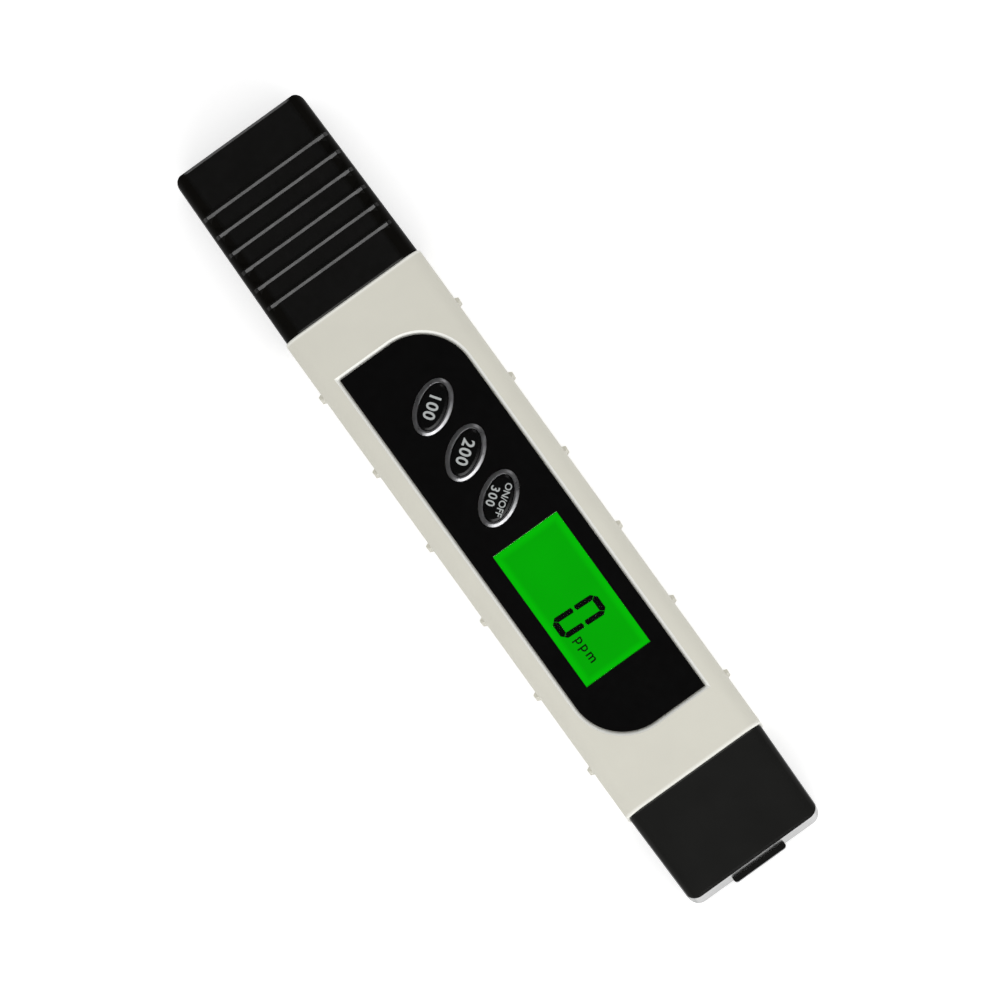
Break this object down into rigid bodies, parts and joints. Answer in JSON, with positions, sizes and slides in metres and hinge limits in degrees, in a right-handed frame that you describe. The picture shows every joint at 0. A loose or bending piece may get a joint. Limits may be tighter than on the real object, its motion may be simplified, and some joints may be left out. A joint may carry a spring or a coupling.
{
  "type": "total dissolved solids meter",
  "caption": "Pen-shaped water tester with a green backlit display, slanted oval keys, a ribbed cap over its probe pins and a pull-off cap over its button cells.",
  "frame": {"origin": "centre of the housing's flat back face, on which the meter lies", "axes": "+X along the pen from the probe end to the battery end, +Y up in the display's reading direction, +Z out of the face"},
  "size_m": [0.1553, 0.0298, 0.0149],
  "materials": {
    "housing_plastic": "fine satin moulded",
    "cap_black": "satin moulded",
    "battery_cap_black": "smooth semi-gloss",
    "panel_black": "smooth",
    "key_black": "smooth domed",
    "ring_silver": "bright silver lacquer",
    "clear_window": "polished clear acrylic",
    "display_glass": "flat",
    "backlight_green": "lit from the edge",
    "lamp_white": "moulded",
    "rubber_black": "matt",
    "white_plastic": "moulded",
    "board_green": "solder mask",
    "plated_steel": "plated",
    "pin_steel": "polished",
    "cell_steel": "nickel plate",
    "spring_brass": "rolled strip",
    "chip_black": "moulded",
    "ceramic_tan": "fired",
    "plunger_tan": "moulded",
    "sensor_resin": "epoxy bead"
  },
  "bodies": {
    "housing": {"front_shell": "housing_plastic", "rear_shell": "housing_plastic", "face_panel": "panel_black", "display_window": "clear_window", "lcd_glass_front": "display_glass", "lcd_glass_rear": "display_glass", "diffuser_sheet": "backlight_green", "backlight_guide": "backlight_green", "backlight_led": "lamp_white", "zebra_strip": "rubber_black", "lcd_frame": "white_plastic", "main_board": "board_green", "board_screws": "plated_steel", "controller_chip": "chip_black", "amplifier_chip": "chip_black", "crystal_can": "plated_steel", "chip_resistors": "chip_black", "chip_capacitors": "ceramic_tan", "probe_nose": "white_plastic", "probe_seal": "rubber_black", "electrode_left": "pin_steel", "electrode_right": "pin_steel", "sensor_capsule": "sensor_resin", "sensor_leads": "plated_steel", "battery_tray": "white_plastic", "button_cell_left": "cell_steel", "button_cell_right": "cell_steel", "contact_negative": "spring_brass", "contact_positive": "spring_brass", "contact_bridge": "spring_brass", "mode_ring": "ring_silver", "mode_switch": "chip_black", "clear_ring": "ring_silver", "clear_switch": "chip_black", "power_ring": "ring_silver", "power_switch": "chip_black"},
    "probe_cap": {"probe_cap": "cap_black"},
    "battery_cap": {"battery_cap": "battery_cap_black"},
    "mode_button": {"mode_key": "key_black", "mode_switch_plunger": "plunger_tan"},
    "clear_button": {"clear_key": "key_black", "clear_switch_plunger": "plunger_tan"},
    "power_button": {"power_key": "key_black", "power_switch_plunger": "plunger_tan"}
  },
  "joints": [
    {"name": "probe_cap_pull", "type": "slide", "parent": "housing", "child": "probe_cap", "axis": [-1, 0, 0], "range_m": [0, 0.036]},
    {"name": "battery_cap_pull", "type": "slide", "parent": "housing", "child": "battery_cap", "axis": [1, 0, 0], "range_m": [0, 0.022]},
    {"name": "mode_press", "type": "slide", "parent": "housing", "child": "mode_button", "axis": [0, 0, -1], "range_m": [0, 0.0003], "stiffness_N_per_m": 3000, "springref_m": -0.0003},
    {"name": "clear_press", "type": "slide", "parent": "housing", "child": "clear_button", "axis": [0, 0, -1], "range_m": [0, 0.0003], "stiffness_N_per_m": 3000, "springref_m": -0.0003},
    {"name": "power_press", "type": "slide", "parent": "housing", "child": "power_button", "axis": [0, 0, -1], "range_m": [0, 0.0003], "stiffness_N_per_m": 3000, "springref_m": -0.0003}
  ]
}
